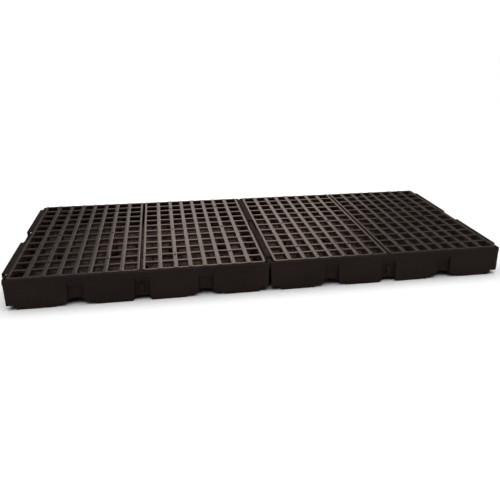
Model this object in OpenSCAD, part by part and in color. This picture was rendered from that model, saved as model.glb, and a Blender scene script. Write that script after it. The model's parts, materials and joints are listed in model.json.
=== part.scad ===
// Low spill containment platform: two sump trays hooked end to end, each with
// two lift-out deck grates. +X runs along the row, -Y is the front, +Z is up.
// The origin is on the floor under the middle of the platform.

/* [Trays] */
// Distance between the centres of the two trays
tray_pitch = 1316; // [1312:1:1330]
// Depth of a tray over its rim bead, front to back
tray_depth = 1330; // [1328:1:1336]
// Height of the rim above the floor
rim_top = 158; // [156:1:158]
// Thickness of the tray walls
wall_t = 6; // [5:0.5:6]
// Thickness of the sump floor and of the feet
floor_t = 6; // [5:0.5:8]
// Distance from the joint plane between the trays to the posts of each end wall
end_wall_inset = 3.5; // [3:0.5:8]
// Distance from the joint plane to the panels behind the hooks and lips
panel_inset = 13.5; // [13.5:0.5:14]
// Radius of the walls' upright corners
corner_r = 8; // [8:1:14]

/* [Rim and hooks] */
// How far the end hooks and lips reach past the joint plane
lip_reach = 11; // [9:0.5:11]
// Radius of the rim's corners
rim_r = 14; // [10:1:18]
// Clearance between the facing rims of two hooked trays
rim_gap = 0.5; // [0.4:0.1:1]
// Height of the skirt that hangs from the rim on the two ends
skirt_h = 27; // [20:1:30]
// Thickness of the rim's top plate
rim_t = 5; // [4:0.5:6]
// Thickness of the skirt and of the hooks' legs
skirt_t = 4; // [3:0.5:4]
// Height of the bead along the front and back rims
bead_h = 12; // [8:1:16]
// How far that bead stands out from the wall
bead_out = 2; // [1:0.5:3]
// Start of each hook, measured from the middle of the end
hook_y0 = 98; // [80:1:110]
// End of each hook, measured from the middle of the end
hook_y1 = 585; // [560:1:590]
// Top of the hooks
hook_top = 164.5; // [164:0.5:165]
// Depth of the hooks' legs below their top
hook_drop = 29.5; // [25:0.5:32]

/* [Feet and underside] */
// Half the width of the wide channels, measured on the floor
wide_channel = 98; // [90:1:100]
// Half the width of the narrow middle channel, measured on the floor
narrow_channel = 46.5; // [44:0.5:48]
// Distance from the tray's middle to the outer edge of the end feet
foot_end = 597.5; // [590:0.5:598]
// Height of the step under the two end walls
end_step = 22; // [18:1:24]

/* [Wall recesses] */
// Width of the recesses above the channels
recess_w = 77; // [70:1:80]
// Depth of the recesses below the knee
recess_depth = 18; // [12:1:18]
// Depth of the recesses above the knee
recess_shallow = 4; // [3:0.5:4]
// Top of the recesses
recess_top = 128; // [122:1:130]

/* [Deck grates] */
// Width of a grate along X
grate_w = 629; // [627:0.5:629]
// Depth of a grate along Y
grate_d = 1304; // [1298:1:1304]
// Height of the deck above the floor
deck_top = 165; // [165:1:168]
// Thickness of a grate
grate_t = 45; // [40:1:45]
// Gap between the two grates of one tray
grate_gap = 15; // [12:0.5:16]
// Width of the solid border round a grate
border = 13.5; // [12:0.5:15]
// Width of the ribs that run front to back
long_rib = 23; // [20:0.5:24]
// Width of the ribs that run along X
cross_rib = 18; // [16:0.5:20]
// Height of those ribs
cross_h = 12; // [10:0.5:20]
// How far those ribs, and the ends of the border, lie below the deck
cross_drop = 2; // [1:0.5:3]
// Width of the outermost column of openings
outer_opening = 63; // [60:1:64]
// Width of the next column of openings
next_opening = 56; // [54:1:58]

/* [Pillars] */
// Radius of a support pillar at the floor
pillar_r0 = 32; // [28:1:34]
// Radius of a support pillar at the grate
pillar_r1 = 22; // [20:1:24]
// Wall thickness of a pillar
pillar_t = 6; // [5:0.5:7]
// Width of the peg on top of a pillar
peg_w = 10; // [8:0.5:10]
// Length of that peg, front to back
peg_l = 14; // [12:0.5:15]
// Height of that peg
peg_h = 30; // [20:1:35]
// Distance of the outer pillars from the middle, front to back
pillar_y = 458; // [456:1:460]

/* [Hidden] */
$fn = 48;

tray_color = [0.16, 0.13, 0.12];
grate_color = [0.24, 0.20, 0.19];

joint_x = tray_pitch / 2;                    // joint plane, from the tray's middle
rim_x = joint_x - rim_gap / 2;               // outer edge of the rim on the ends
wall_x = joint_x - end_wall_inset;           // outer face of the end walls' posts
panel_x = joint_x - panel_inset;             // outer face of the end walls' panels
lip_x = joint_x + lip_reach;                 // tip of hooks and lips
rim_y = tray_depth / 2;                      // outer edge of the rim, front and back
wall_y = rim_y - bead_out;                   // outer face of the front and back walls
seat = deck_top - grate_t;                   // height on which the grates rest
grate_x = (grate_gap + grate_w) / 2;         // grate centre, from the tray's middle
slot_clear = 1.5;                            // room round a hook's leg in its slot, and round a peg
lip_end_clear = 2;                           // room at the two ends of a hooked lip
lip_turn_h = 10;                             // height of the lips' turned-down edge
skirt_z = rim_top - skirt_h;                 // lower edge of the end skirts
fin_t = 6;                                   // thickness of the fins under the grates' edges
fin_l = 25;                                  // how far the fins stand in from the wall
fin_pitch = 108;                             // distance between two fins
past = 1;                                    // how far a cutting shape runs past a face

columns = 8;                                 // openings across a grate
rows = 12;                                   // openings along a grate
inner_opening = (grate_w - 2 * border - (columns - 1) * long_rib
                 - 2 * (outer_opening + next_opening)) / (columns - 4);
row_opening = (grate_d - 2 * border - (rows - 1) * cross_rib) / rows;
row_pitch = row_opening + cross_rib;

function opening_w(i) = (i == 0 || i == columns - 1) ? outer_opening
                      : (i == 1 || i == columns - 2) ? next_opening : inner_opening;
// Left edge of opening i, from the grate's left edge
function opening_x(i) = i == 0 ? border : opening_x(i - 1) + opening_w(i - 1) + long_rib;
// Middle of the rib to the right of opening i, from the grate's middle
function rib_x(i) = opening_x(i) + opening_w(i) + long_rib / 2 - grate_w / 2;
peg_ribs = [1, columns - 3];                 // the two ribs that carry the peg slots

// Half outlines of the underside channels: [distance from the middle, height]
wide_half = [[wide_channel, 0], [96, 12], [53, 15], [43, 27], [28, 30], [16, 35]];
narrow_half = [[narrow_channel, 0], [39, 14], [20, 20]];

// Closed outline of a channel, grown outwards and upwards by grow
function channel_outline(half, grow) = concat(
    [[-half[0].x - grow, -past]],
    [for (p = half) [-p.x - grow, p.y + grow]],
    [for (i = [len(half) - 1:-1:0]) [half[i].x + grow, half[i].y + grow]],
    [[half[0].x + grow, -past]]);

// Rectangle with round corners, centred
module plan(half_x, half_y, r) {
    square([2 * (half_x - r), 2 * half_y], center = true);
    square([2 * half_x, 2 * (half_y - r)], center = true);
    for (sx = [-1, 1], sy = [-1, 1])
        translate([sx * (half_x - r), sy * (half_y - r)]) circle(r);
}

// Plan of the walls: the ends stand back behind the hooks and lips. inset moves the whole outline inwards.
module wall_plan(inset) {
    difference() {
        plan(wall_x - inset, wall_y - inset, corner_r - inset);
        for (sx = [-1, 1], sy = [-1, 1])
            translate([sx * (panel_x - inset + lip_x) / 2, sy * (hook_y0 + hook_y1) / 2])
                square([lip_x - panel_x + inset, hook_y1 - hook_y0 + 2 * inset], center = true);
    }
}

// Prism of an outline drawn in the XZ plane, running the tray's whole depth
module run_y(points) {
    rotate([90, 0, 0]) linear_extrude(tray_depth + 2 * past, center = true) polygon(points);
}

// The same, running the tray's whole length
module run_x(points) {
    rotate([90, 0, 90]) linear_extrude(2 * lip_x + 2 * past, center = true) polygon(points);
}

// Space under the tray between its feet, grown by grow
module channels(grow) {
    for (s = [-1, 1]) {
        translate([s * grate_x, 0, 0]) run_y(channel_outline(wide_half, grow));
        translate([0, s * grate_x, 0]) run_x(channel_outline(wide_half, grow));
        run_y([[s * (foot_end - grow), -past], [s * (foot_end - grow), grow],
               [s * (foot_end + 12 - grow), end_step + grow],
               [s * (lip_x + past), end_step + grow], [s * (lip_x + past), -past]]);
    }
    run_y(channel_outline(narrow_half, grow));
    run_x(channel_outline(narrow_half, grow));
}

// Upright recesses in the front and back walls above the channels, grown by grow
module wall_recesses(grow) {
    knee = recess_top - 31;
    knee_out = recess_top - 12;
    deep = wall_y - recess_depth - grow;
    shallow = wall_y - recess_shallow - grow;
    outline = [[rim_y + past, -past], [deep, -past], [deep, knee + grow / 2],
               [shallow, knee_out + grow / 2], [shallow, recess_top + grow],
               [rim_y + past, recess_top + grow]];
    for (s = [-1, 1], x = [-grate_x, 0, grate_x])
        translate([x, 0, 0]) mirror([0, s < 0 ? 1 : 0, 0]) rotate([90, 0, 90])
            linear_extrude(recess_w + 2 * grow, center = true) polygon(outline);
}

// Small upright block in the middle recess of the front and back walls
module recess_blocks() {
    block_w = 19;
    block_out = 12;
    for (s = [-1, 1])
        translate([-block_w / 2, s * (wall_y - recess_depth + block_out / 2) - block_out / 2 - 1, 38])
            cube([block_w, block_out + 2, 49]);
}

// Places of the pillars, in the tray's frame
module at_pillars() {
    for (s = [-1, 1], i = peg_ribs, y = [-pillar_y, 0, pillar_y])
        translate([s * grate_x + rib_x(i), y, 0]) children();
}

module pillar() {
    cylinder(h = seat, r1 = pillar_r0, r2 = pillar_r1);
    translate([-peg_w / 2, -peg_l / 2, seat - past]) cube([peg_w, peg_l, peg_h + past]);
}

// Hollow of a pillar, open at the underside
module pillar_hollow() {
    h = seat - pillar_t;
    r1 = pillar_r0 - pillar_t;
    slope = (pillar_r1 - pillar_r0) / seat;
    translate([0, 0, -past]) cylinder(h = h + past, r1 = r1 - slope * past, r2 = r1 + slope * h);
}

// Fin that carries a grate's edge; it stands in from a wall at d = 0
module fin() {
    rotate([90, 0, 0]) linear_extrude(fin_t, center = true)
        polygon([[past, 0], [past, seat], [-fin_l, seat], [-fin_l, seat - 15], [-10, 0]]);
}

module fins() {
    for (s = [0, 180], i = [0.5:1:5.5], side = [-1, 1])
        rotate([0, 0, s]) translate([wall_x - wall_t, side * i * fin_pitch, 0]) fin();
    for (s = [90, 270], i = [1, 2, 4, 5], side = [-1, 1])
        rotate([0, 0, s]) translate([wall_y - wall_t, side * i * fin_pitch, 0]) fin();
}

// The tray's skin: walls and floor, with the sump open at the top
module skin() {
    difference() {
        linear_extrude(rim_top) wall_plan(0);
        difference() {
            translate([0, 0, floor_t]) linear_extrude(rim_top) wall_plan(wall_t);
            channels(floor_t);
            wall_recesses(wall_t);
        }
    }
}

// Rim round the top: a plate, skirts on the two ends and a bead front and back
module rim() {
    difference() {
        union() {
            translate([0, 0, rim_top - rim_t]) linear_extrude(rim_t) plan(rim_x, rim_y, rim_r);
            translate([-wall_x + rim_r, -rim_y, rim_top - bead_h])
                cube([2 * (wall_x - rim_r), 2 * rim_y, bead_h]);
            translate([0, 0, skirt_z]) linear_extrude(skirt_h) difference() {
                plan(rim_x, rim_y, rim_r);
                square([2 * wall_x - 2 * rim_r, 2 * rim_y + 2 * past], center = true);
            }
        }
        linear_extrude(rim_top + past) plan(wall_x - past, wall_y - past, corner_r - past);
    }
}

// Zones of the ends where the rim gives way to hooks or lips
module lip_zone(side) {
    for (s = [-1, 1])
        translate([side * (panel_x + lip_x) / 2, s * (hook_y0 + hook_y1) / 2, skirt_z + skirt_h / 2])
            cube([lip_x - panel_x, hook_y1 - hook_y0, skirt_h + 2 * past], center = true);
}

// Lips on the right end: the rim's plate carried outwards, with a slot for the hooks' legs
module lips() {
    y0 = hook_y0 + lip_end_clear;
    y1 = hook_y1 - lip_end_clear;
    slot_x0 = joint_x - lip_reach - slot_clear;
    slot_x1 = joint_x - lip_reach + skirt_t + slot_clear;
    for (s = [0, 1]) mirror([0, s, 0]) difference() {
        union() {
            translate([panel_x - past, y0 - lip_end_clear, rim_top - rim_t])
                cube([rim_x - panel_x + past, y1 - y0 + 2 * lip_end_clear, rim_t]);
            translate([panel_x - past, y0, rim_top - rim_t])
                cube([lip_x - panel_x + past, y1 - y0, rim_t]);
            translate([lip_x - skirt_t, y0, rim_top - lip_turn_h])
                cube([skirt_t, y1 - y0, lip_turn_h]);
        }
        translate([slot_x0, y0 + 2, rim_top - rim_t - past])
            cube([slot_x1 - slot_x0, y1 - y0 - 4, rim_t + 2 * past]);
    }
}

// Hooks on the left end: the wall runs up into a plate with a leg that hangs down
module hooks() {
    plate_z = rim_top + lip_end_clear;
    leg_trim = 6;
    for (s = [0, 1]) mirror([0, s, 0]) {
        translate([-panel_x, hook_y0, skirt_z - past])
            cube([wall_t, hook_y1 - hook_y0, hook_top - skirt_z + past]);
        translate([-lip_x, hook_y0, plate_z])
            cube([lip_x - panel_x + wall_t, hook_y1 - hook_y0, hook_top - plate_z]);
        translate([-lip_x, hook_y0 + leg_trim, hook_top - hook_drop])
            cube([skirt_t, hook_y1 - hook_y0 - 2 * leg_trim, hook_drop]);
    }
}

module tray() {
    color(tray_color) difference() {
        union() {
            skin();
            intersection() {
                linear_extrude(rim_top) wall_plan(0);
                fins();
            }
            difference() {
                rim();
                lip_zone(-1);
                lip_zone(1);
            }
            lips();
            hooks();
            at_pillars() pillar();
        }
        difference() {
            wall_recesses(0);
            recess_blocks();
        }
        channels(0);
        at_pillars() pillar_hollow();
    }
}

module grate() {
    color(grate_color) translate([-grate_w / 2, -grate_d / 2, seat]) difference() {
        cube([grate_w, grate_d, grate_t]);
        for (i = [0:columns - 1], j = [0:rows - 1])
            translate([opening_x(i), border + j * row_pitch, -past])
                cube([opening_w(i), row_opening, grate_t + 2 * past]);
        for (i = [0:columns - 1]) {
            translate([opening_x(i), -past, grate_t - cross_drop])
                cube([opening_w(i), grate_d + 2 * past, cross_drop + past]);
            translate([opening_x(i), border, -past])
                cube([opening_w(i), grate_d - 2 * border, grate_t - cross_drop - cross_h + past]);
        }
        for (i = peg_ribs, y = [-pillar_y, 0, pillar_y])
            translate([grate_w / 2 + rib_x(i) - peg_w / 2 - slot_clear,
                       grate_d / 2 + y - peg_l / 2 - slot_clear, -past])
                cube([peg_w + 2 * slot_clear, peg_l + 2 * slot_clear, grate_t + 2 * past]);
    }
}

module left_sump_tray() { translate([-joint_x, 0, 0]) tray(); }
module right_sump_tray() { translate([joint_x, 0, 0]) tray(); }
module grate_far_left() { translate([-joint_x - grate_x, 0, 0]) grate(); }
module grate_inner_left() { translate([-joint_x + grate_x, 0, 0]) grate(); }
module grate_inner_right() { translate([joint_x - grate_x, 0, 0]) grate(); }
module grate_far_right() { translate([joint_x + grate_x, 0, 0]) grate(); }

left_sump_tray();
right_sump_tray();
grate_far_left();
grate_inner_left();
grate_inner_right();
grate_far_right();
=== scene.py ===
# %% [markdown]
# # A spill containment platform
# Two square sump trays hook together end to end. Each tray carries two lift-out grates, which make one low
# deck for drums. Everything is moulded in black plastic, so shape, edges and sheen have to do all the work.
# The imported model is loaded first: it fixes every size and place, and the pieces below are built around it.

# %% Load the frame
import json
import math

import bmesh
import bpy
import numpy as np
from mathutils import Matrix, Vector


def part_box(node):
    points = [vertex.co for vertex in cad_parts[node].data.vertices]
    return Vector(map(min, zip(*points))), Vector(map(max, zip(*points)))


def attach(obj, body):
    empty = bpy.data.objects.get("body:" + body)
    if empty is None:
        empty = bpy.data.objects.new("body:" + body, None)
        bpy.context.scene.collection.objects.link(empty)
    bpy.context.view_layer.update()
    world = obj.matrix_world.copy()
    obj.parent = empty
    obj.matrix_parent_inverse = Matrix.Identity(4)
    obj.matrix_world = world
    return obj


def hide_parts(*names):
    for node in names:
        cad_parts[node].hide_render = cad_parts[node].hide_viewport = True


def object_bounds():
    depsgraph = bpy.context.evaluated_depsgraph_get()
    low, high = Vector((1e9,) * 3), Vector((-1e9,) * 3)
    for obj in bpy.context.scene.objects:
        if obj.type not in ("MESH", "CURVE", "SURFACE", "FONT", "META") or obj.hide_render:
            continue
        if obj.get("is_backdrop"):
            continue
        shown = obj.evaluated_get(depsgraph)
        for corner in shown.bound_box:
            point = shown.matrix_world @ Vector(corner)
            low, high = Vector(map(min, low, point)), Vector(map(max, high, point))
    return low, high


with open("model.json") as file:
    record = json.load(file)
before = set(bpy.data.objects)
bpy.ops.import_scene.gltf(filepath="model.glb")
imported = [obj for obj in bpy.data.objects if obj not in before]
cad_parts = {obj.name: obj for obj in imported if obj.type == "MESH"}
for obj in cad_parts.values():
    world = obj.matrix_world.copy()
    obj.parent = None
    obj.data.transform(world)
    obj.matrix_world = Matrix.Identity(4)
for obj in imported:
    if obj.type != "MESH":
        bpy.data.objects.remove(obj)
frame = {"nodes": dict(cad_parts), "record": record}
cad_low, cad_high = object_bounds()
MM = 0.001
print("CAD box in mm:", [round(v / MM, 1) for v in (*cad_low, *cad_high)])

# %% [markdown]
# The camera comes first, because light and finish are judged through it. It stands to the left of the
# middle, about four metres away and at chest height, and looks slightly down. A small shift frames the
# platform without tilting the camera further, which keeps the walls upright.

# %% Camera
CAMERA_PLACE = (-0.543, -3.799, 1.352)      # metres
CAMERA_TURN = 12.4      # degrees from straight ahead, towards +X
CAMERA_DOWN = 15.01     # degrees below the horizon
CAMERA_ROLL = 0.54      # degrees
cam_data = bpy.data.cameras.new("camera")
cam_data.sensor_width = 36
cam_data.lens = 46.54
cam_data.shift_x = -0.0965
cam_data.shift_y = -0.1
print("camera:", cam_data.lens, "mm lens,", CAMERA_PLACE[2], "m above the floor")
camera = bpy.data.objects.new("camera", cam_data)
bpy.context.scene.collection.objects.link(camera)
camera.matrix_world = (Matrix.Translation(CAMERA_PLACE)
                       @ Matrix.Rotation(math.radians(-CAMERA_TURN), 4, "Z")
                       @ Matrix.Rotation(math.radians(90 - CAMERA_DOWN), 4, "X")
                       @ Matrix.Rotation(math.radians(CAMERA_ROLL), 4, "Z"))
bpy.context.scene.camera = camera
bpy.context.scene.view_settings.view_transform = "Standard"

# %% [markdown]
# Black plastic shows its form only through what it mirrors. A wide soft light stands low behind the
# platform: seen from the camera, the tops of the ribs mirror it at a flat angle and turn grey-brown, while
# the front walls face away from it and stay nearly black. Its width is less than the deck's, so the sheen
# dies away at both ends. The sky overhead lights the pale floor, and the floor lights the walls. Low down
# the sky is dim, because the deck would mirror it as a grey film.

# %% Floor and lights
def link(name, data):
    made = bpy.data.objects.new(name, data)
    bpy.context.scene.collection.objects.link(made)
    return made


def aim(obj, place, target):
    direction = Vector(target) - Vector(place)
    obj.matrix_world = Matrix.Translation(place) @ direction.to_track_quat("-Z", "Y").to_matrix().to_4x4()


def soft_light(name, place, target, size, power, colour):
    data = bpy.data.lights.new(name, "AREA")
    data.color = colour
    data.shape = "RECTANGLE"
    data.size, data.size_y = size
    data.energy = power
    lamp = link(name, data)
    lamp.visible_camera = False
    aim(lamp, place, target)
    return lamp


SHEEN_COLOUR = (1.0, 0.80, 0.70)
SOFTBOX_SIZE, SOFTBOX_WATTS = (2.35, 1.3), 21.0
soft_light("back_softbox", (0.25, 2.7, 1.35), (0.2, 0.0, 0.1), SOFTBOX_SIZE, SOFTBOX_WATTS, SHEEN_COLOUR)


HORIZON_GLOW, LOW_GLOW, HIGH_GLOW = 1.1, 0.02, 2.3
SKY = [(0.0, HORIZON_GLOW), (0.048, HORIZON_GLOW), (0.06, LOW_GLOW),     # (sine of the elevation, glow)
       (0.6, LOW_GLOW), (0.8, HIGH_GLOW), (1.0, HIGH_GLOW)]


def studio_sky():
    """A sky that is dim behind the platform and bright overhead, with a pale band where the floor ends."""
    world = bpy.data.worlds.new("studio")
    world.use_nodes = True
    tree = world.node_tree
    background = tree.nodes["Background"]
    place = tree.nodes.new("ShaderNodeTexCoord")
    split = tree.nodes.new("ShaderNodeSeparateXYZ")
    ramp = tree.nodes.new("ShaderNodeValToRGB")
    tree.links.new(place.outputs["Generated"], split.inputs[0])
    tree.links.new(split.outputs["Z"], ramp.inputs[0])
    tree.links.new(ramp.outputs[0], background.inputs["Color"])
    ramp.color_ramp.elements.remove(ramp.color_ramp.elements[0])
    for i, (height, glow) in enumerate(SKY):
        stop = ramp.color_ramp.elements[0] if i == 0 else ramp.color_ramp.elements.new(height)
        stop.position = height
        level = glow / HIGH_GLOW
        stop.color = (level, level, level, 1)
    background.inputs["Strength"].default_value = HIGH_GLOW
    bpy.context.scene.world = world


studio_sky()

FLOOR_HALF, FLOOR_PAINT = 30.0, (0.9, 0.9, 0.9, 1)
floor_mesh = bpy.data.meshes.new("floor")
floor_mesh.from_pydata([(-FLOOR_HALF, -FLOOR_HALF, 0), (FLOOR_HALF, -FLOOR_HALF, 0),
                        (FLOOR_HALF, FLOOR_HALF, 0), (-FLOOR_HALF, FLOOR_HALF, 0)], [], [(0, 1, 2, 3)])
floor = link("floor", floor_mesh)
floor_paint = bpy.data.materials.new("pale_floor")
floor_paint.use_nodes = True
floor_skin = floor_paint.node_tree.nodes["Principled BSDF"]
floor_skin.inputs["Base Color"].default_value = FLOOR_PAINT
floor_skin.inputs["Roughness"].default_value = 0.9
floor_mesh.materials.append(floor_paint)
floor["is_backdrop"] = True
print("floor and", len(bpy.data.lights), "lamp ready")

# %% [markdown]
# Shader maths reads best as plain expressions. This small wrapper holds one output socket and turns each
# operator into a Math node, so `1 - mask` or `noise * 0.3 + 0.2` can be written as they are thought of.

# %% Shader expressions
class Shade:
    def __init__(self, tree, socket):
        self.tree, self.socket = tree, socket

    def node(self, kind, settings=None, output=0, **values):
        made = self.tree.nodes.new(kind)
        for key, value in (settings or {}).items():
            setattr(made, key, value)
        for key, value in values.items():
            into = made.inputs[int(key[1:]) if key[0] == "i" and key[1:].isdigit() else key.replace("_", " ")]
            if isinstance(value, Shade):
                self.tree.links.new(value.socket, into)
            else:
                into.default_value = value
        return Shade(self.tree, made.outputs[output])

    def maths(self, operation, other=0.0, swap=False):
        first, second = (other, self) if swap else (self, other)
        return self.node("ShaderNodeMath", {"operation": operation}, i0=first, i1=second)

    def __add__(self, other):
        return self.maths("ADD", other)

    def __radd__(self, other):
        return self.maths("ADD", other)

    def __sub__(self, other):
        return self.maths("SUBTRACT", other)

    def __rsub__(self, other):
        return self.maths("SUBTRACT", other, swap=True)

    def __mul__(self, other):
        return self.maths("MULTIPLY", other)

    def __rmul__(self, other):
        return self.maths("MULTIPLY", other)

    def between(self, low, high, to_low=0.0, to_high=1.0):
        return self.node("ShaderNodeMapRange", {"interpolation_type": "SMOOTHSTEP"}, Value=self,
                         From_Min=low, From_Max=high, To_Min=to_low, To_Max=to_high)

    def noise(self, scale, detail=2.0, roughness=0.5):
        return self.node("ShaderNodeTexNoise", Vector=self, Scale=scale, Detail=detail, Roughness=roughness)

    def mix(self, first, second):
        return self.node("ShaderNodeMix", {"data_type": "RGBA"}, output=2, i0=self, i6=first, i7=second)

    def bump(self, strength, distance, normal=None):
        values = {"Height": self, "Strength": strength, "Distance": distance}
        if normal is not None:
            values["Normal"] = normal
        return self.node("ShaderNodeBump", **values)

    def xyz(self):
        parts = self.node("ShaderNodeSeparateXYZ", Vector=self).socket.node
        return [Shade(self.tree, out) for out in parts.outputs]


def plastic(name):
    """A new material: (material, its Principled node, the Object coordinates as a Shade)."""
    material = bpy.data.materials.new(name)
    material.use_nodes = True
    tree = material.node_tree
    skin = tree.nodes["Principled BSDF"]
    coords = tree.nodes.new("ShaderNodeTexCoord")
    return material, skin, Shade(tree, coords.outputs["Object"])


def wire(skin, **values):
    for key, value in values.items():
        into = skin.inputs[key.replace("_", " ")]
        if isinstance(value, Shade):
            value.tree.links.new(value.socket, into)
        else:
            into.default_value = value

# %% [markdown]
# Both mouldings are the same black polyethylene with a warm brown cast. The mould leaves a fine pebble
# grain. On the deck, boots and drums polish the tops of the ribs and leave pale scuffs, so the scuffs are
# masked by height. On the trays the same height mask lays painted shade, in dark patches, on the rim tops
# and hook plates. In the sump, brown dust settles on whatever faces upwards, so dust is masked by the
# surface's own direction. The side faces in the sump and in the grates' openings are painted a lighter
# brown, partly for old spills that have run down them and partly as painted light where light reaches them
# through the openings. The trays' rims are duller and darker than the grates; part of that darkness is
# painted shade.

# %% Plastics
tray_low, tray_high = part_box("left_sump_tray")
TRAY_MIDDLE = -(tray_low.x + tray_high.x) / 2       # from the joint between the trays to the middle of each
DECK_TOP = cad_high.z
# From a tray's middle to within the thickness of its end walls and of its side walls
END_WALL, SIDE_WALL = (0.6405, 0.6425), (0.6365, 0.6385)
LEAN_BELOW, END_LEAN = 0.131, 0.053                 # the end walls lean in towards the floor
RIDGE_TOPS = (0.036, 0.044)


def inside_sump(place):
    """1 within the inner faces of either tray's walls, 0 outside the outer ones and down in the channels."""
    x, y, z = place.xyz()
    lean = (LEAN_BELOW - z).maths("MAXIMUM", 0.0) * END_LEAN
    along = ((x.maths("ABSOLUTE") - TRAY_MIDDLE).maths("ABSOLUTE") + lean).between(*END_WALL, 1.0, 0.0)
    return along * y.maths("ABSOLUTE").between(*SIDE_WALL, 1.0, 0.0) * z.between(*RIDGE_TOPS)


def under_the_deck(place):
    """1 below the ribs' rounded top edges, 0 on them."""
    return place.xyz()[2].between(DECK_TOP - 0.006, DECK_TOP - 0.003, 1.0, 0.0)


def moulded_plastic(name, dark, pale, gloss, top_rough, specular, tops_from, wear_and_shade, dust, stain_and_light, stain_and_light_mask):
    """dark and pale are the ends of the cloudy tone; gloss is the mean roughness, top_rough the tops' share;
    wear is (colour, how much) above the height tops_from: pale scuffs on the grates, painted shade in dark
    patches on the trays' tops; dust is (colour, how much) on what faces upwards; stain is the brown of the
    side faces, partly old spills and partly painted light, wherever the mask that stained makes from a
    place allows it."""
    material, skin, place = plastic(name)
    height = place.xyz()[2]
    upward = place.node("ShaderNodeNewGeometry", output=1).xyz()[2]
    cloudy = place.noise(5.0, detail=4.0)
    specks = place.noise(150.0, detail=2.0, roughness=0.7)
    grain = place.noise(620.0, detail=2.0)
    on_top = height.between(tops_from - 0.0015, tops_from)
    tone = (cloudy * 0.5 + specks * 0.5).between(0.36, 0.66)
    colour = tone.mix((*dark, 1), (*pale, 1))
    # Lighter brown on side faces in the sump and the grates' openings: partly old spills, partly painted
    # light.
    sides = upward.between(0.25, 0.7, 1.0, 0.0) * upward.between(-0.5, -0.2)
    sides = sides * stain_and_light_mask(place) * (tone * 0.5 + 0.5)
    colour = sides.mix(colour, (*stain_and_light, 1))
    settled = upward.between(0.3, 0.9) * height.between(0.10, 0.13, 1.0, 0.12)
    settled = settled * place.noise(24.0, detail=5.0, roughness=0.6).between(0.36, 0.66) * dust[1]
    colour = settled.mix(colour, (*dust[0], 1))
    # Over the tops: pale scuffs on the grates, and on the trays painted shade on rim tops and hook plates.
    scuffs_and_shade = specks.between(0.45, 0.62) * place.noise(17.0, detail=6.0, roughness=0.7).between(0.4, 0.65)
    scuffs_and_shade = scuffs_and_shade * on_top * upward.between(0.6, 0.95) * wear_and_shade[1]
    colour = scuffs_and_shade.mix(colour, (*wear_and_shade[0], 1))
    rough = specks * 0.4 + cloudy * 0.14 + (gloss - 0.27) + settled * 0.12 + on_top * top_rough
    normal = (specks * (on_top * 1.3 + 0.5)).bump(0.8, 0.0012)
    normal = grain.bump(0.3, 0.0004, normal)
    wire(skin, Base_Color=colour, Roughness=rough, Normal=normal)
    skin.inputs["Specular IOR Level"].default_value = specular
    print(name + ":", len(material.node_tree.nodes), "nodes")
    return material


# Lighter brown for side faces: partly old spills, partly painted light reaching them through the openings.
BROWN_STAIN_AND_LIGHT = (0.085, 0.044, 0.027)
grate_plastic = moulded_plastic(
    "grate_plastic", dark=(0.0060, 0.0034, 0.0026), pale=(0.0130, 0.0078, 0.0060), gloss=0.38, top_rough=-0.05,
    specular=0.5, tops_from=DECK_TOP - 0.0008, wear_and_shade=((0.070, 0.052, 0.044), 0.22),
    dust=((0.045, 0.030, 0.022), 0.1), stain_and_light=BROWN_STAIN_AND_LIGHT, stain_and_light_mask=under_the_deck)
# The trays' dark top colour is painted shade on their rim tops and hook plates.
tray_plastic = moulded_plastic(
    "tray_plastic", dark=(0.0118, 0.0068, 0.0058), pale=(0.0186, 0.0112, 0.0096), gloss=0.62, top_rough=0.35,
    specular=0.08, tops_from=DECK_TOP - 0.006, wear_and_shade=((0.0030, 0.0022, 0.0020), 1.5),
    dust=((0.095, 0.056, 0.038), 0.9), stain_and_light=BROWN_STAIN_AND_LIGHT, stain_and_light_mask=inside_sump)

# %% [markdown]
# A grate is one pattern repeated: a cell with an opening, eight across and twelve deep. Deep ribs run front
# to back and carry the load; shallow ribs tie them together and lie a little lower, so light reaches the
# sump below them. The columns differ in width, so one row is built from eight cells, and Geometry Nodes
# then repeats that row down the grate and welds the rows.

# %% Grate sizes
OPENINGS = [63.0, 56.0, 50.75, 50.75, 50.75, 50.75, 56.0, 63.0]
LONG_RIB, CROSS_RIB, BORDER = 23.0, 18.0, 13.5
CROSS_H, CROSS_DROP = 12.0, 2.0
ROWS = 12
grate_low, grate_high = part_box("grate_far_left")
GRATE_W, GRATE_D, GRATE_T = [v / MM for v in (grate_high - grate_low)]
ROW_OPENING = (GRATE_D - 2 * BORDER - (ROWS - 1) * CROSS_RIB) / ROWS
ROW_PITCH = ROW_OPENING + CROSS_RIB
EDGE = CROSS_RIB / 2            # solid kept round the grid by the outer cells; the rest is the rolled edge
TAPER = 2.0                     # how much thinner a long rib is at its foot, on each side
CORNER_STEPS = 3
print("row opening", round(ROW_OPENING, 2), "pitch", round(ROW_PITCH, 2))


def opening_starts():
    starts, x = [], BORDER
    for width in OPENINGS:
        starts.append(x)
        x += width + LONG_RIB
    return starts


# %% One cell
def round_rectangle(half_x, half_y, radius, steps=CORNER_STEPS):
    """Corner by corner, the points of a rectangle with round corners, anticlockwise from +X +Y."""
    corners = []
    for quarter, (sx, sy) in enumerate([(1, 1), (-1, 1), (-1, -1), (1, -1)]):
        cx, cy = sx * (half_x - radius), sy * (half_y - radius)
        turns = [math.pi / 2 * (quarter + k / steps) for k in range(steps + 1)]
        corners.append([(cx + radius * math.cos(a), cy + radius * math.sin(a)) for a in turns])
    return corners


def rolled(radius, steps):
    """Points over a rounded edge: (how far short of the side wall, how far below the top)."""
    turns = [math.pi / 2 * k / steps for k in range(steps + 1)]
    return [(radius * (1 - math.sin(a)), radius * (1 - math.cos(a))) for a in turns]


def link_rows(bm, rows):
    """Quads between rows of equally many vertices; an outside face turns left from one row to the next."""
    for first, second in zip(rows, rows[1:]):
        for j in range(len(first) - 1):
            bm.faces.new((first[j], first[j + 1], second[j + 1], second[j]))


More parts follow.
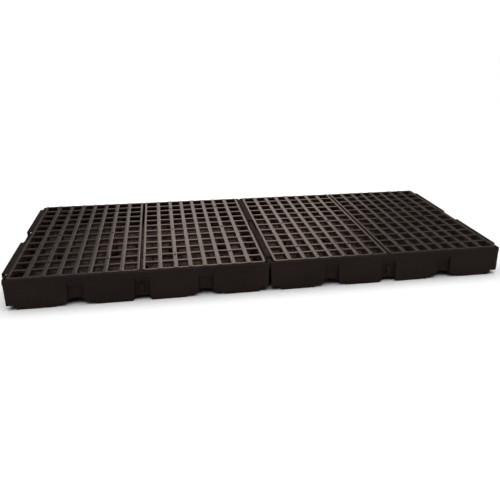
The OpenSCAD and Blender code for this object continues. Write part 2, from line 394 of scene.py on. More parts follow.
def add_cell(bm, left, right, depth, mid_x, width, front, back):
    """The solid round one opening, from left to right over depth, in millimetres below the deck at z = 0."""
    def wall(z):
        return width / 2 + TAPER * (-z - CROSS_DROP) / (GRATE_T - CROSS_DROP)

    corner = 5.0
    low = -CROSS_DROP - CROSS_H
    levels = [(inset, -CROSS_DROP - drop) for inset, drop in rolled(1.3, 3)] + [(0.0, low + 1.0), (0.7, low)]
    rings = []
    for inset, z in levels:
        shape = round_rectangle(wall(z), ROW_OPENING / 2 + inset, corner + inset)
        rings.append([bm.verts.new((mid_x + x, y, z)) for points in shape for x, y in points])
    count, per = len(rings[0]), CORNER_STEPS + 1
    for upper, lower in zip(rings, rings[1:]):
        for j in range(count):
            k = (j + 1) % count
            bm.faces.new((upper[j], upper[k], lower[k], lower[j]))
    ends = []
    for ring, up in ((rings[0], True), (rings[-1], False)):
        z = ring[0].co.z
        corners = [bm.verts.new((mid_x + sx * wall(z), sy * depth / 2, z))
                   for sx, sy in ((1, 1), (-1, 1), (-1, -1), (1, -1))]
        ends.append(corners)
        for c in range(4):
            faces = [(corners[c], ring[c * per + j + 1], ring[c * per + j]) for j in range(per - 1)]
            if c % 2 == 0:
                faces.append((corners[c], corners[c + 1], ring[(c + 1) * per], ring[c * per + per - 1]))
            for face in faces:
                bm.faces.new(face if up else face[::-1])
    for side, outer_x in ((1, right), (-1, left)):
        picks = (3, 3 * per + per - 1, 0, 0) if side > 0 else (2, 2 * per, per + per - 1, 1)
        rows = []
        for ring, corners in ((rings[0], ends[0]), (rings[-1], ends[1])):
            rows.append([corners[picks[0]], ring[picks[1]], ring[picks[2]], corners[picks[3]]])
        upper, lower = rows
        stations = [v.co.y for v in upper]
        profile = [(outer_x - mid_x, 0.0)]
        profile += [(side * (width / 2 + CROSS_DROP * (1 - math.sin(a))), -CROSS_DROP * (1 - math.cos(a)))
                    for a in (0.0, math.pi / 6, math.pi / 3)]
        top = [[bm.verts.new((mid_x + x, y, z)) for y in stations] for x, z in profile] + [upper]
        stations = [v.co.y for v in lower]
        profile = [(side * wall(-GRATE_T), -GRATE_T + 1.2), (side * (wall(-GRATE_T) + 1.0), -GRATE_T),
                   (outer_x - mid_x, -GRATE_T)]
        foot = [lower] + [[bm.verts.new((mid_x + x, y, z)) for y in stations] for x, z in profile]
        for block in (top, foot):
            link_rows(bm, block if side > 0 else [row[::-1] for row in block])
        ends.append(foot)
    for closed, at in ((front, 0), (back, -1)):
        if closed:
            right_foot, left_foot = ends[2], ends[3]
            face = [right_foot[k][at] for k in (0, 1, 2)] + [left_foot[k][at] for k in (2, 1, 0)]
            bm.faces.new(face if at == -1 else face[::-1])


def grate_row(front=False, back=False):
    """Eight cells side by side, in millimetres, with the grate's middle at x = 0 and the deck at z = 0."""
    bm = bmesh.new()
    starts = opening_starts()
    for i, (x0, width) in enumerate(zip(starts, OPENINGS)):
        left = x0 - (EDGE if i == 0 else LONG_RIB / 2)
        right = x0 + width + (EDGE if i == len(OPENINGS) - 1 else LONG_RIB / 2)
        add_cell(bm, left - GRATE_W / 2, right - GRATE_W / 2, ROW_PITCH, x0 + width / 2 - GRATE_W / 2, width,
                 front, back)
    bmesh.ops.remove_doubles(bm, verts=bm.verts, dist=0.01)
    return bm


# %% [markdown]
# Geometry Nodes trees take many small nodes. A helper keeps their sockets readable: it gives a tree named
# inputs, ends it with Realize Instances and Set Material, and turns the result into a plain mesh.

# %% Geometry Nodes helper
class Tree:
    """Builds a Geometry Nodes tree with named inputs."""
    def __init__(self, name, inputs):
        self.group = bpy.data.node_groups.new(name, "GeometryNodeTree")
        self.names = {}
        for label, kind in [("Geometry", "NodeSocketGeometry"), *inputs]:
            made = self.group.interface.new_socket(label, in_out="INPUT", socket_type=kind)
            self.names[label] = made.identifier
        self.group.interface.new_socket("Geometry", in_out="OUTPUT", socket_type="NodeSocketGeometry")
        self.source = self.group.nodes.new("NodeGroupInput")
        self.sink = self.group.nodes.new("NodeGroupOutput")

    def node(self, kind, settings=None, **values):
        made = self.group.nodes.new(kind)
        for key, value in (settings or {}).items():
            setattr(made, key, value)
        for key, value in values.items():
            into = made.inputs[key.replace("_", " ")]
            if isinstance(value, bpy.types.NodeSocket):
                self.group.links.new(value, into)
            else:
                into.default_value = value
        return made.outputs[0]

    def given(self, label):
        return self.source.outputs[label]

    def finish(self, geometry, material, weld=None):
        solid = self.node("GeometryNodeRealizeInstances", Geometry=geometry)
        if weld:
            solid = self.node("GeometryNodeMergeByDistance", Geometry=solid, Distance=weld)
        painted = self.node("GeometryNodeSetMaterial", Geometry=solid, Material=material)
        self.group.links.new(painted, self.sink.inputs[0])

    def run(self, mesh, name, **values):
        """Evaluates the tree on a mesh and returns the result as a plain mesh."""
        holder = link(name + "_maker", mesh)
        modifier = holder.modifiers.new("repeat", "NODES")
        modifier.node_group = self.group
        for label, value in values.items():
            modifier[self.names[label.replace("_", " ")]] = value
        bpy.context.view_layer.update()
        evaluated = holder.evaluated_get(bpy.context.evaluated_depsgraph_get())
        made = bpy.data.meshes.new_from_object(evaluated, preserve_all_data_layers=True,
                                               depsgraph=bpy.context.evaluated_depsgraph_get())
        made.name = name
        holder.modifiers.clear()
        bpy.data.objects.remove(holder)
        return made


# %% [markdown]
# Ten of the twelve rows are alike. They are one row on the points of a line, welded where rows meet.

# %% Repeat the row
def repeat_rows(row):
    tree = Tree("rows_down_a_grate", [("Rows", "NodeSocketInt"), ("Pitch", "NodeSocketFloat")])
    step = tree.node("ShaderNodeCombineXYZ", Y=tree.given("Pitch"))
    line = tree.node("GeometryNodeMeshLine", {"mode": "OFFSET"}, Count=tree.given("Rows"), Offset=step)
    copies = tree.node("GeometryNodeInstanceOnPoints", Points=line, Instance=tree.given("Geometry"))
    tree.finish(copies, grate_plastic, weld=0.02)
    return tree.run(row, "grate_grid", Rows=ROWS - 2, Pitch=ROW_PITCH)


def mesh_of(bm, name):
    mesh = bpy.data.meshes.new(name)
    bm.to_mesh(mesh)
    bm.free()
    return mesh


inner_rows = repeat_rows(mesh_of(grate_row(), "grate_row"))
print("grate rows:", len(inner_rows.vertices), "vertices,", len(inner_rows.polygons), "faces")

# %% [markdown]
# The first and last rows are closed towards the border, so they are made apart and welded on. The welded
# grid is then open round its outside. A rolled edge closes it: from the open loop on the deck, rings run
# out to the grate's full size, over a rounded top edge, down a slightly tapered wall, and back to the loop
# underneath.

# %% Rolled edge
def ordered_loop(edges):
    """The vertices of one closed boundary loop, anticlockwise from its right-hand end."""
    links = {}
    for edge in edges:
        a, b = edge.verts
        links.setdefault(a, []).append(b)
        links.setdefault(b, []).append(a)
    start = max(links, key=lambda v: v.co.x + v.co.y * 0.01)
    step = min(links[start], key=lambda v: v.co.x)
    loop, previous, here = [start], start, step
    while here is not start:
        loop.append(here)
        previous, here = here, next(v for v in links[here] if v is not previous)
    return loop


def wrap(bm, loop, rings, steps=4):
    """Runs rings of new vertices outside a loop. rings are functions of a loop vertex that give
    (half width, half depth, height, corner radius); a loop corner becomes an arc in each ring."""
    grid_x, grid_y = max(v.co.x for v in loop), max(v.co.y for v in loop)
    made = []
    for ring in rings:
        columns = []
        for v in loop:
            x, y = v.co.x, v.co.y
            at_x, at_y = abs(abs(x) - grid_x) < 0.05, abs(abs(y) - grid_y) < 0.05
            sx, sy = (1 if x > 0 else -1), (1 if y > 0 else -1)
            half_x, half_y, z, radius = ring(v)
            if at_x and at_y:
                cx, cy = sx * (half_x - radius), sy * (half_y - radius)
                start = {(1, 1): 0, (-1, 1): 1, (-1, -1): 2, (1, -1): 3}[(sx, sy)] * math.pi / 2
                columns.append([bm.verts.new((cx + radius * math.cos(start + math.pi / 2 * k / steps),
                                              cy + radius * math.sin(start + math.pi / 2 * k / steps), z))
                                for k in range(steps + 1)])
            elif at_x:
                columns.append([bm.verts.new((sx * half_x, y, z))])
            else:
                columns.append([bm.verts.new((x, sy * half_y, z))])
        made.append(columns)
    return made


def join_loop(bm, loop, ring, up):
    """Faces between a loop and the ring that wrap made round it."""
    for i, v in enumerate(loop):
        k = (i + 1) % len(loop)
        faces = [(v, ring[i][j], ring[i][j + 1]) for j in range(len(ring[i]) - 1)]
        faces.append((v, ring[i][-1], ring[k][0], loop[k]))
        for face in faces:
            bm.faces.new(face if up else face[::-1])


def join_rings(bm, upper, lower):
    above = [v for column in upper for v in column]
    below = [v for column in lower for v in column]
    for i in range(len(above)):
        k = (i + 1) % len(above)
        bm.faces.new((above[i], below[i], below[k], above[k]))
    return below


def edges_round(verts):
    return [next(e for e in v.link_edges if e.other_vert(v) is verts[(i + 1) % len(verts)])
            for i, v in enumerate(verts)]


def close_grate(bm):
    open_edges = [e for e in bm.edges if e.is_boundary]
    top = ordered_loop([e for e in open_edges if e.verts[0].co.z > -5 and e.verts[1].co.z > -5])
    foot = [e for e in open_edges if max(v.co.z for v in e.verts) < -GRATE_T + 0.1]
    half_x, half_y = GRATE_W / 2, GRATE_D / 2

    def deck_ring(inset, drop):
        return lambda v: (half_x - inset, half_y - inset, v.co.z - drop, corner - inset)

    def foot_ring(inset, rise):
        return lambda v: (half_x - inset, half_y - inset, -GRATE_T + rise, corner - inset)

    corner = 5.0
    rings = wrap(bm, top, [deck_ring(2.4, 0.0)] + [deck_ring(inset, drop) for inset, drop in rolled(2.0, 4)]
                 + [foot_ring(1.0, 1.5), foot_ring(2.2, 0.0)])
    join_loop(bm, top, rings[0], True)
    for upper, lower in zip(rings, rings[1:]):
        last = join_rings(bm, upper, lower)
    bmesh.ops.bridge_loops(bm, edges=edges_round(last) + foot)


def finished_grid(inner):
    bm = bmesh.new()
    bm.from_mesh(inner)
    for at, closed in ((-1, {"front": True}), (ROWS - 2, {"back": True})):
        row = mesh_of(grate_row(**closed), "end_row")
        row.transform(Matrix.Translation((0, at * ROW_PITCH, 0)))
        bm.from_mesh(row)
    bmesh.ops.remove_doubles(bm, verts=bm.verts, dist=0.02)
    bmesh.ops.translate(bm, verts=bm.verts, vec=(0, -(ROWS - 3) * ROW_PITCH / 2, 0))
    close_grate(bm)
    bmesh.ops.recalc_face_normals(bm, faces=bm.faces)
    print("open edges left:", sum(e.is_boundary for e in bm.edges))
    return mesh_of(bm, "grate")


grate_mesh = finished_grid(inner_rows)

# %% [markdown]
# Six small slots in each grate drop over pegs on the tray's pillars. A real slot is cored out by the mould,
# and here a cutter with a flared mouth is subtracted, which leaves a chamfer round each slot.

# %% Peg slots
PEG_W, PEG_L, PEG_ROOM, PILLAR_Y = 10.0, 14.0, 1.5, 458.0
PEG_RIBS = (1, 5)


def rib_middle(i):
    return opening_starts()[i] + OPENINGS[i] + LONG_RIB / 2 - GRATE_W / 2


def peg_places():
    return [(rib_middle(i), y) for i in PEG_RIBS for y in (-PILLAR_Y, 0.0, PILLAR_Y)]


def add_loft(bm, sections):
    """A closed solid through sections of equally many points, each a list of (x, y, z)."""
    rings = [[bm.verts.new(p) for p in section] for section in sections]
    for lower, upper in zip(rings, rings[1:]):
        for j in range(len(lower)):
            k = (j + 1) % len(lower)
            bm.faces.new((lower[j], lower[k], upper[k], upper[j]))
    bm.faces.new(rings[0][::-1])
    bm.faces.new(rings[-1])


def flat_ring(half_x, half_y, radius, x, y, z, steps=CORNER_STEPS):
    corners = round_rectangle(half_x, half_y, radius, steps)
    return [(x + px, y + py, z) for corner in corners for px, py in corner]


def cut(target, cutter_bm):
    """Subtracts a closed bmesh from a mesh and returns the new mesh."""
    cutter_mesh = bpy.data.meshes.new("cutter")
    cutter_bm.to_mesh(cutter_mesh)
    cutter_bm.free()
    body, tool = link("cut_body", target), link("cut_tool", cutter_mesh)
    modifier = body.modifiers.new("cut", "BOOLEAN")
    modifier.object, modifier.operation, modifier.solver = tool, "DIFFERENCE", "EXACT"
    bpy.context.view_layer.update()
    depsgraph = bpy.context.evaluated_depsgraph_get()
    made = bpy.data.meshes.new_from_object(body.evaluated_get(depsgraph), depsgraph=depsgraph)
    body.modifiers.clear()
    bpy.data.objects.remove(body)
    bpy.data.objects.remove(tool)
    return made


def cut_slots(mesh):
    bm = bmesh.new()
    half_x, half_y = PEG_W / 2 + PEG_ROOM, PEG_L / 2 + PEG_ROOM
    for x, y in peg_places():
        levels = [(0.0, -GRATE_T - 2), (0.0, -0.7), (0.6, 0.1), (0.6, 3.0)]
        add_loft(bm, [flat_ring(half_x + grow, half_y + grow, 2.0 + grow, x, y, z) for grow, z in levels])
    return cut(mesh, bm)


grate_mesh = cut_slots(grate_mesh)
print("grate:", len(grate_mesh.polygons), "faces")

# %% [markdown]
# The four grates are the same moulding, so one mesh in millimetres is copied to each place. Each copy takes
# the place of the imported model's grate and rides on its body, so it lifts with it.

# %% Place the four grates
SLOTS = {"grate_plastic": grate_plastic, "tray_plastic": tray_plastic}


def smooth(mesh, degrees=38):
    for face in mesh.polygons:
        face.use_smooth = True
        face.material_index = 0
    mesh.set_sharp_from_angle(angle=math.radians(degrees))


def place(name, mesh, centre, z, slot, node):
    """A copy of a millimetre mesh, in its place in metres. It stands for a CAD node and rides on its body."""
    own = mesh.copy()
    own.name = name
    own.transform(Matrix.Translation((centre.x, centre.y, z)) @ Matrix.Scale(MM, 4))
    own.materials.clear()
    own.materials.append(SLOTS[slot])
    smooth(own)
    piece = link(name, own)
    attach(piece, body_of_node[node])
    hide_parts(node)
    return piece


body_of_node = {node: body for body, nodes in frame["record"]["behaviour"]["bodies"].items() for node in nodes}
for node in sorted(n for n in frame["nodes"] if n.startswith("grate")):
    low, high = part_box(node)
    place(node + "_moulding", grate_mesh, (low + high) / 2, high.z, "grate_plastic", node)

# %% [markdown]
# A tray is one hollow moulding. Seen from below it is a waffle: flat feet with channels between them, for a
# pallet truck and for stiffness. The same channels show inside as ridges on the sump's floor. Both faces
# are height fields over one set of grid lines, and rings of new points run from the rim of the lower one,
# up the outer wall, over the rim and down the inner wall to the upper one, which closes the skin.

# %% Tray sizes, in millimetres from the middle of the tray
POST_X, PANEL_X = 654.5, 644.5              # an end wall's posts and panels
RIM_X, LIP_X = 657.75, 669.0                # its rim, and the hooks and lips
WALL_Y, RIM_Y = 663.0, 665.0
RIM_TOP, SKIRT_Z, SKIN = 158.0, 131.0, 6.0
HOOK_Y0, HOOK_Y1, HOOK_TOP = 98.0, 585.0, 164.5
CORNER, RIM_CORNER = 8.0, 14.0
SEAT = 120.0                                # height at which a grate lies
CHANNEL_AT = 322.0
# Half the section of a channel: (distance from its middle, height)
WIDE = [(16, 35), (28, 30), (43, 27), (53, 15), (96, 12), (98, 0)]
NARROW = [(20, 20), (39, 14), (46.5, 0)]
FOOT_END, END_STEP, END_RUN = 597.5, 22.0, 12.0
SIDE_DRAFT, END_DRAFT = 2.0, 7.0            # how far the walls lean in at the floor
print("from the joint to a tray's middle:", round(TRAY_MIDDLE / MM, 2))


def channel(distance, outline, grow):
    """Height of a channel's roof, or of the ridge that it makes inside when grow is the skin's thickness."""
    xs = [point[0] + grow for point in outline]
    zs = [point[1] + grow for point in outline]
    return float(np.interp(abs(distance), xs + [xs[-1] + 0.01], zs + [grow]))


def under(x, y, grow=0.0):
    """Height of the underside at a point, or of the sump's floor when grow is the skin's thickness."""
    heights = [channel(v - middle, outline, grow) for v in (x, y)
               for middle, outline in ((-CHANNEL_AT, WIDE), (0, NARROW), (CHANNEL_AT, WIDE))]
    step = float(np.interp(abs(x), [FOOT_END - grow, FOOT_END + END_RUN - grow], [grow, END_STEP + grow]))
    return max(max(heights), step, grow)


# %% [markdown]
# Over each channel the wall stands back in a recess, with a knee below the rim. The middle recess has a
# small block in it. Soft steps instead of sharp ones leave the rounded edges of a moulding.

# %% Recesses in the front and back walls
RECESS_AT, RECESS_HALF, RECESS_DEEP, RECESS_SHALLOW = (-CHANNEL_AT, 0.0, CHANNEL_AT), 38.5, 18.0, 4.0
# Across a recess's side: (offset, share of the depth)
RECESS_EDGE = [(-1.6, 1.0), (-0.4, 0.94), (0.6, 0.06), (1.6, 0.0)]
BLOCK_HALF, BLOCK_OUT, BLOCK_LOW, BLOCK_HIGH = 9.5, 12.0, 38.0, 87.0


def recess(x, z, grow=0.0):
    """How far the wall stands back at a point: all of the depth to a knee, a little above it, then none."""
    depth = 0.0
    for middle in RECESS_AT:
        across = np.interp(abs(x - middle) - RECESS_HALF - grow, *zip(*RECESS_EDGE))
        up = np.interp(z - grow / 2, [95, 98, 115, 117, 127.5 + grow / 2, 129.5 + grow / 2],
                       [RECESS_DEEP, RECESS_DEEP - 0.8,
                        RECESS_SHALLOW + 0.8, RECESS_SHALLOW, RECESS_SHALLOW, 0])
        here = float(across * up)
        if middle == 0 and grow == 0:
            beside = np.interp(abs(x), [BLOCK_HALF - 0.8, BLOCK_HALF + 0.8], [1, 0])
            level = np.interp(z, [BLOCK_LOW - 1, BLOCK_LOW + 1, BLOCK_HIGH - 1, BLOCK_HIGH + 1], [0, 1, 1, 0])
            here -= BLOCK_OUT * float(beside * level)
        depth = max(depth, here)
    return depth


# %% [markdown]
# The height fields need grid lines wherever the shape bends: at the outlines of the channels, their ridges,
# the recesses and the ends of the hooks. Elsewhere the faces stay large.

# %% Grid lines
def mirrored(values):
    return [s * v for v in values for s in (-1, 1)]


def tidy_lines(values, half, gap=0.7):
    """Sorted lines within half, with near doubles dropped."""
    kept = []
    for v in sorted(round(v, 2) for v in values):
        if abs(v) < half - 4 and (not kept or v - kept[-1] > gap):
            kept.append(v)
    return [-half] + kept + [half]


def channel_lines(with_recess):
    lines = []
    for middle, outline in ((CHANNEL_AT, WIDE), (0, NARROW)):
        offsets = [o + g for o, _ in outline for g in (0, SKIN)]
        if with_recess:
            offsets += [RECESS_HALF + o + g for o, _ in RECESS_EDGE for g in (0, SKIN)]
            offsets += [BLOCK_HALF - 0.8, BLOCK_HALF + 0.8] if middle == 0 else []
        lines += [middle + o for o in mirrored(offsets)]
    return mirrored(lines)


GRID_X, GRID_Y = POST_X - 11.0, WALL_Y - 7.0
step_ends = [FOOT_END + run - g for run in (0, END_RUN) for g in (0, SKIN)]
corner_ends = [POST_X - RIM_CORNER - 1, POST_X - RIM_CORNER + 1]
x_lines = tidy_lines(channel_lines(True) + mirrored(step_ends + corner_ends), GRID_X)
y_lines = tidy_lines(channel_lines(False) + mirrored(
    [HOOK_Y0 - 0.6, HOOK_Y0 + 0.6, HOOK_Y0 - SKIN - 0.6, HOOK_Y0 - SKIN + 0.6,
     HOOK_Y1 - 0.6, HOOK_Y1 + 0.6, HOOK_Y1 + SKIN - 0.6, HOOK_Y1 + SKIN + 0.6]), GRID_Y)
print("grid lines:", len(x_lines), "by", len(y_lines))


# %% [markdown]
# Each ring is a rule: for a vertex of the floor's border it says how far out the ring runs, how high, and
# how round its corner is. Behind the hooks and lips the end walls stand back, and the rim has no bead
# there.

# %% The skin's wall, ring by ring
def behind_hooks(y, grow):
    return HOOK_Y0 - grow < abs(y) < HOOK_Y1 + grow


def end_x(v, grow=0.0):
    """Half length of the tray's wall at a loop vertex: the ends stand back behind the hooks and lips."""
    at_end = abs(abs(v.co.x) - GRID_X) < 0.05
    return (PANEL_X if at_end and behind_hooks(v.co.y, grow) else POST_X) - grow


def draft(z, at_floor=SIDE_DRAFT):
    """Walls lean in a little towards the floor, so that the tray leaves its mould."""
    return at_floor * max(0.0, 1 - z / SKIRT_Z)


def outer_ring(level, above_edge, inset):
    """A ring on the outer wall: at a level, but at least above_edge over the underside there."""
    def ring(v):
        edge = under(v.co.x, v.co.y)
        z = max(level, edge + above_edge)
        lean = draft(z) + inset
        half_x = end_x(v) - draft(z, END_DRAFT) - inset
        return half_x, WALL_Y - lean - recess(v.co.x, z), z, CORNER - lean * 0.5
    return ring


def rim_ring(side_reach, side_z, end_reach, end_z, bare_z):
    """A ring round the rim: reach beyond the wall, and height. Behind hooks and lips is only bare wall."""
    def ring(v):
        at_end = abs(abs(v.co.x) - GRID_X) < 0.05
        near_corner = abs(v.co.x) > POST_X - RIM_CORNER
        bare = at_end and behind_hooks(v.co.y, 0.0)
        wide = end_reach > 0 and (near_corner or at_end)
        z = bare_z if bare else (end_z if near_corner or at_end else side_z)
        reach_y = min(RIM_Y - WALL_Y, end_reach) if wide else side_reach
        corner = CORNER + (RIM_CORNER - CORNER) * min(1.0, abs(end_reach) / 3)
        return end_x(v) + (0.0 if bare else end_reach), WALL_Y + reach_y, z, corner
    return ring


def inner_ring(level, above_floor, inset):
    def ring(v):
        z = max(level, under(v.co.x, v.co.y, SKIN) + above_floor)
        lean = draft(z) + inset
        half_x = end_x(v, SKIN) - draft(z, END_DRAFT) - inset
        half_y = WALL_Y - SKIN - lean - recess(v.co.x, z, SKIN)
        return half_x, half_y, z, CORNER - SKIN + 2.0 - lean * 0.3
    return ring


OUTER_LEVELS = (37, 39, 86, 88, 94, 98, 105, 115, 117, 127.5, 129.7)
INNER_LEVELS = (135.8, 133.8, 130, 120.2, 118.2, 108, 101.2, 97.2, 60)


def skin_rings():
    """All rings, from the underside's border out and up, over the rim, and down inside to the sump's floor."""
    edge = RIM_X - POST_X
    bead = RIM_Y - WALL_Y
    outer = [outer_ring(0.0, rise, inset) for rise, inset in ((0.5, 2.6), (1.6, 1.2), (3.2, 0.35), (5.0, 0.0))]
    outer += [outer_ring(z, 5.2 + 0.2 * k, 0.0) for k, z in enumerate(OUTER_LEVELS)]
    rim = [rim_ring(0.0, 145.4, 0.0, 131.0, 130.4), rim_ring(0.5, 145.7, 1.8, 131.4, 131.0),
           rim_ring(1.4, 146.2, edge - 0.5, 133.0, 140.0), rim_ring(bead, 147.4, edge, 135.5, 148.0),
           rim_ring(bead, 156.0, edge, 152.0, 155.6), rim_ring(bead - 0.3, 157.2, edge - 1.0, 155.3, 157.0),
           rim_ring(bead - 1.0, 157.85, edge - 3.0, 157.4, 157.6),
           rim_ring(bead - 2.0, RIM_TOP, edge - 5.4, RIM_TOP, RIM_TOP)]
    inner = [inner_ring(RIM_TOP - down, 0, inset)
             for down, inset in ((0.0, -2.0), (0.3, -0.9), (1.2, -0.2), (2.4, 0.0))]
    inner += [inner_ring(z, 6.0 + 0.2 * (11 - k), 0.0) for k, z in enumerate(INNER_LEVELS)]
    inner += [inner_ring(0.0, rise, inset)
              for rise, inset in ((6.0, 0.0), (3.2, 0.5), (1.2, 1.8), (0.15, 3.8))]
    return outer + rim + inner


# %% [markdown]
# The two height fields and the rings between them make one closed skin, 6 mm thick.

# %% The whole skin
def add_floor(bm, grow, up):
    """One height field. Its border follows the wall, so it bends in where the wall has a recess."""
    table = []
    for x in x_lines:
        column = []
        for y in y_lines:
            z = under(x, y, grow)
            px, py = x, y
            if abs(y) == GRID_Y:
                py = math.copysign(GRID_Y - recess(x, z + 3, grow) - grow, y)
            if abs(x) == GRID_X:
                back = POST_X - PANEL_X if behind_hooks(y, grow) else 0.0
                px = math.copysign(GRID_X - back - grow, x)
            column.append(bm.verts.new((px, py, z)))
        table.append(column)
    for a, b in zip(table, table[1:]):
        for j in range(len(y_lines) - 1):
            face = (a[j], b[j], b[j + 1], a[j + 1])
            bm.faces.new(face if up else face[::-1])
    last = len(y_lines) - 1
    loop = [column[0] for column in table] + table[-1][1:] + [column[last] for column in table[-2::-1]]
    return loop + table[0][last - 1:0:-1]


class Station:
    """A loop vertex as the ring functions see it: on the plain grid, whatever the recess does to the mesh."""
    def __init__(self, x, y):
        self.co = Vector((x, y, 0.0))


def tray_skin():
    bm = bmesh.new()
    lower, upper = add_floor(bm, 0.0, False), add_floor(bm, SKIN, True)
    far = len(y_lines) - 1
    plan = ([(x, y_lines[0]) for x in x_lines] + [(x_lines[-1], y) for y in y_lines[1:]]
            + [(x, y_lines[far]) for x in x_lines[-2::-1]] + [(x_lines[0], y) for y in y_lines[far - 1:0:-1]])
    stations = [Station(x, y) for x, y in plan]
    rings = wrap(bm, stations, skin_rings(), steps=6)
    join_loop(bm, lower, rings[0], False)
    for below, above in zip(rings, rings[1:]):
        join_rings(bm, above, below)
    join_loop(bm, upper, rings[-1], True)
    bmesh.ops.recalc_face_normals(bm, faces=bm.faces)
    print("tray skin:", len(bm.faces), "faces, open edges", sum(e.is_boundary for e in bm.edges))
    return mesh_of(bm, "tray_skin")


skin = tray_skin()

# %% [markdown]
# Twelve pillars hold the grates up from below. Each is a hollow cone, open at the underside, with a peg on
# top that enters a slot in the grate. The floor is bored where a pillar stands, so its hollow stays open.

# %% Pillars
def ring_of(radius, z, steps=32):
    return [(radius * math.cos(2 * math.pi * k / steps), radius * math.sin(2 * math.pi * k / steps), z)
            for k in range(steps)]


PILLAR_FOOT, PILLAR_TOP, BORE = 32.0, 22.0, 28.5      # radii


def pillar_mesh(foot_z):
    def radius(z):
        return PILLAR_FOOT - (PILLAR_FOOT - PILLAR_TOP) * z / SEAT

    bm = bmesh.new()
    roof = SEAT - SKIN
    inner = [(radius(roof) - SKIN - 1.5, roof), (radius(roof - 1.5) - SKIN, roof - 1.5),
             (radius(foot_z) - SKIN, foot_z)]
    outer = [(radius(foot_z), foot_z), (radius(SEAT - 2), SEAT - 2), (radius(SEAT) - 0.6, SEAT - 0.6),
             (radius(SEAT) - 2.0, SEAT)]
    add_loft(bm, [ring_of(r, z) for r, z in inner + outer])
    peg = [(0, SEAT - 1), (0, 146.5), (0.8, 149.2), (2.2, 150)]        # (inset, height)
    add_loft(bm, [flat_ring(PEG_W / 2 - i, PEG_L / 2 - i, 2.4 - i * 0.6, 0, 0, z) for i, z in peg])
    bmesh.ops.recalc_face_normals(bm, faces=bm.faces)
    return mesh_of(bm, "pillar")


def pillar_places(row_y):
    return [(s * CHANNEL_AT + rib_middle(i), row_y) for s in (-1, 1) for i in PEG_RIBS]


def scattered(part, places, name, turns=None):
    """Copies of one part on points, by Geometry Nodes; the turn of each is an attribute of its point."""
    points = bpy.data.meshes.new(name + "_points")
    points.from_pydata([(x, y, 0) for x, y in places], [], [])
    turn = points.attributes.new("turn", "FLOAT", "POINT")
    turn.data.foreach_set("value", turns or [0.0] * len(places))
    tree = Tree(name + "_on_points", [("Part", "NodeSocketObject")])
    shape = tree.node("GeometryNodeObjectInfo", {"transform_space": "ORIGINAL"}, Object=tree.given("Part"))
    geometry = shape.node.outputs["Geometry"]
    stored = tree.node("GeometryNodeInputNamedAttribute", {"data_type": "FLOAT"}, Name="turn")
    angles = tree.node("ShaderNodeCombineXYZ", Z=stored)
    spots = tree.node("GeometryNodeMeshToPoints", Mesh=tree.given("Geometry"))
    copies = tree.node("GeometryNodeInstanceOnPoints", Points=spots, Instance=geometry, Rotation=angles)
    tree.finish(copies, tray_plastic)
    source = link(name + "_part", part)
    made = tree.run(points, name, Part=source)
    bpy.data.objects.remove(source)
    print(name + ":", len(places), "copies,", len(made.polygons), "faces")
    return made


def bored(mesh):
    bm = bmesh.new()
    for row_y in (-PILLAR_Y, 0.0, PILLAR_Y):
        for x, y in pillar_places(row_y):
            add_loft(bm, [[(x + px, y + py, z) for px, py, z in ring_of(BORE, z)] for z in (-5.0, 50.0)])
    return cut(mesh, bm)


outer_places = pillar_places(-PILLAR_Y) + pillar_places(PILLAR_Y)
outer_pillars = scattered(pillar_mesh(0.0), outer_places, "outer_pillars")
middle_pillars = scattered(pillar_mesh(NARROW[0][1] - 0.5), pillar_places(0.0), "middle_pillars")
skin = bored(skin)
print("skin with bores:", len(skin.polygons), "faces")

# %% [markdown]
# Fins stand round the inside of the walls and carry the grates' edges. One fin, with its edges softened by
# a bevel, is copied to every place and turned to face its wall.

# %% Fins
FIN_T, FIN_PITCH = 6.0, 108.0


def fin_mesh():
    """A fin that stands in from a wall at x = 0 towards -X. Its outer edge leans and stays in the wall."""
    outline = [(-1.0, 24.0), (3.0, SEAT), (-25.0, SEAT), (-25.0, SEAT - 15), (-13.6, 24.0)]
    bm = bmesh.new()
    half = FIN_T / 2
    add_loft(bm, [[(x, y, z) for x, z in outline] for y in (half, -half)])
    tops = [e for e in bm.edges if all(v.co.x < 2 for v in e.verts)]
    bmesh.ops.bevel(bm, geom=tops, offset=1.2, segments=2, profile=0.5, affect="EDGES")
    bmesh.ops.recalc_face_normals(bm, faces=bm.faces)
    return mesh_of(bm, "fin")


def fin_places():
    places, turns = [], []
    for sx, turn in ((1, 0.0), (-1, math.pi)):
        for i in range(6):
            for side in (-1, 1):
                y = side * (i + 0.5) * FIN_PITCH
                wall = PANEL_X if behind_hooks(y, 0.0) else POST_X
                places.append((sx * (wall - SKIN), y))
                turns.append(turn)
    for sy, turn in ((1, math.pi / 2), (-1, -math.pi / 2)):
        for i in (1, 2, 4, 5):
            for side in (-1, 1):
                places.append((side * i * FIN_PITCH, sy * (WALL_Y - SKIN)))
                turns.append(turn)
    return places, turns


fin_spots, fin_turns = fin_places()
fins = scattered(fin_mesh(), fin_spots, "fins", fin_turns)

# %% [markdown]
# The left end of each tray carries two hooks, and the right end two slotted lips. A hook is one long
# profile: it rises from the wall, runs outwards as a plate and turns down as a leg that drops through the
# neighbour's slot.

# %% Hooks and lips
def extruded(bm, profiles):
    """A closed bar through profiles at several y: each is (y, [(x, z), ...]) with equally many points."""
    add_loft(bm, [[(x, y, z) for x, z in outline] for y, outline in profiles])


def softened(outline, radius, steps=2):
    """The same outline with every corner rounded."""
    made = []
    for i, here in enumerate(outline):
        p, a, b = Vector(here), Vector(outline[i - 1]), Vector(outline[(i + 1) % len(outline)])
        room = min(radius, (a - p).length * 0.45, (b - p).length * 0.45)
        start, end = p + (a - p).normalized() * room, p + (b - p).normalized() * room
        for k in range(steps + 1):
            t = k / steps
            made.append(tuple(start * (1 - t) ** 2 + p * 2 * t * (1 - t) + end * t ** 2))
    return made


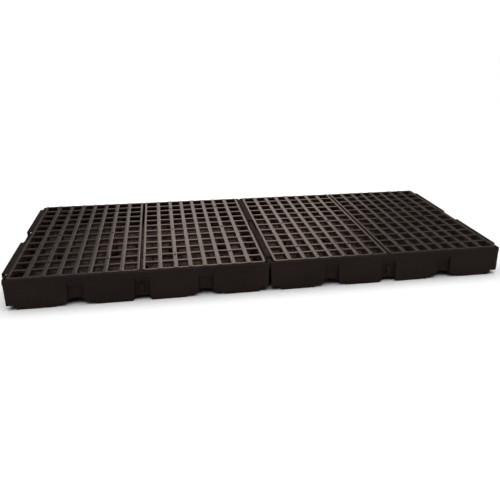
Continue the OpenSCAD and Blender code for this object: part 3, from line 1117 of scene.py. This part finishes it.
PLATE_Z, LEG_DROP, LEG_T, SLOT_OUT = 160.0, 29.5, 4.0, 652.5
LIP_Z, LIP_FOOT_Z = 153.0, 148.0


def hook_outline(leg_z, inset=0.0):
    top, plate = HOOK_TOP - inset, PLATE_Z + inset
    return [(-PANEL_X + SKIN, 150.0), (-PANEL_X + SKIN, top), (-LIP_X + inset, top), (-LIP_X + inset, leg_z),
            (-LIP_X + LEG_T, leg_z), (-LIP_X + LEG_T, plate), (-PANEL_X + inset, plate),
            (-PANEL_X + inset, 150.0)]


def hooks_and_lips():
    bm = bmesh.new()
    leg, short = HOOK_TOP - LEG_DROP, PLATE_Z - 1.0         # a hook's ends have no leg
    lip0, lip1 = HOOK_Y0 + 2, HOOK_Y1 - 2
    lip = [(SLOT_OUT, LIP_Z), (LIP_X - LEG_T, LIP_Z), (LIP_X - LEG_T, LIP_FOOT_Z), (LIP_X, LIP_FOOT_Z),
           (LIP_X, RIM_TOP), (SLOT_OUT, RIM_TOP)]
    lip_end = [(x - (0.8 if x == LIP_X else 0), z - (0.8 if z == RIM_TOP else 0)) for x, z in lip]
    bridge = softened([(PANEL_X - 2, LIP_Z), (RIM_X - 0.5, LIP_Z), (RIM_X - 0.5, RIM_TOP - 0.05),
                       (PANEL_X - 2, RIM_TOP - 0.05)], 0.8)
    cuts = [(HOOK_Y0, short, 1.2), (HOOK_Y0 + 1.2, short, 0.0), (HOOK_Y0 + 5.4, short, 0.0),
            (HOOK_Y0 + 6.0, leg + 1, 0.0), (HOOK_Y0 + 8.0, leg, 0.0), (HOOK_Y1 - 8.0, leg, 0.0),
            (HOOK_Y1 - 6.0, leg + 1, 0.0), (HOOK_Y1 - 5.4, short, 0.0), (HOOK_Y1 - 1.2, short, 0.0),
            (HOOK_Y1, short, 1.2)]
    for s in (-1, 1):
        extruded(bm, [(s * y, softened(hook_outline(z, inset), 1.6)) for y, z, inset in cuts])
        extruded(bm, [(s * lip0, softened(lip_end, 1.2)), (s * (lip0 + 0.8), softened(lip, 1.2)),
                      (s * (lip1 - 0.8), softened(lip, 1.2)), (s * lip1, softened(lip_end, 1.2))])
        for y0, y1 in ((HOOK_Y0 - 1, HOOK_Y0 + 4), (HOOK_Y1 - 4, HOOK_Y1 + 1)):
            extruded(bm, [(s * y0, bridge), (s * y1, bridge)])
    bmesh.ops.recalc_face_normals(bm, faces=bm.faces)
    return mesh_of(bm, "hooks_and_lips")


# %% [markdown]
# The parts of a tray go into one mesh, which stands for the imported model's tray and rides on its body. Both
# trays are the same moulding.

# %% Assemble the trays
def joined(meshes, name):
    bm = bmesh.new()
    for mesh in meshes:
        bm.from_mesh(mesh)
    return mesh_of(bm, name)


tray_mesh = joined([skin, outer_pillars, middle_pillars, fins, hooks_and_lips()], "tray")
print("tray:", sum(len(f.vertices) - 2 for f in tray_mesh.polygons), "triangles")
for node, side in (("left_sump_tray", -1), ("right_sump_tray", 1)):
    place(node + "_moulding", tray_mesh, Vector((side * TRAY_MIDDLE, 0, 0)), 0.0, "tray_plastic", node)

# %% [markdown]
# Both boxes are printed: the imported model's at the start, and the finished pieces' here. The finished
# pieces have to fill the imported model's box and no more.

# %% Both boxes
low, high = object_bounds()
print("visual box in mm:", [round(v / MM, 1) for v in (*low, *high)])
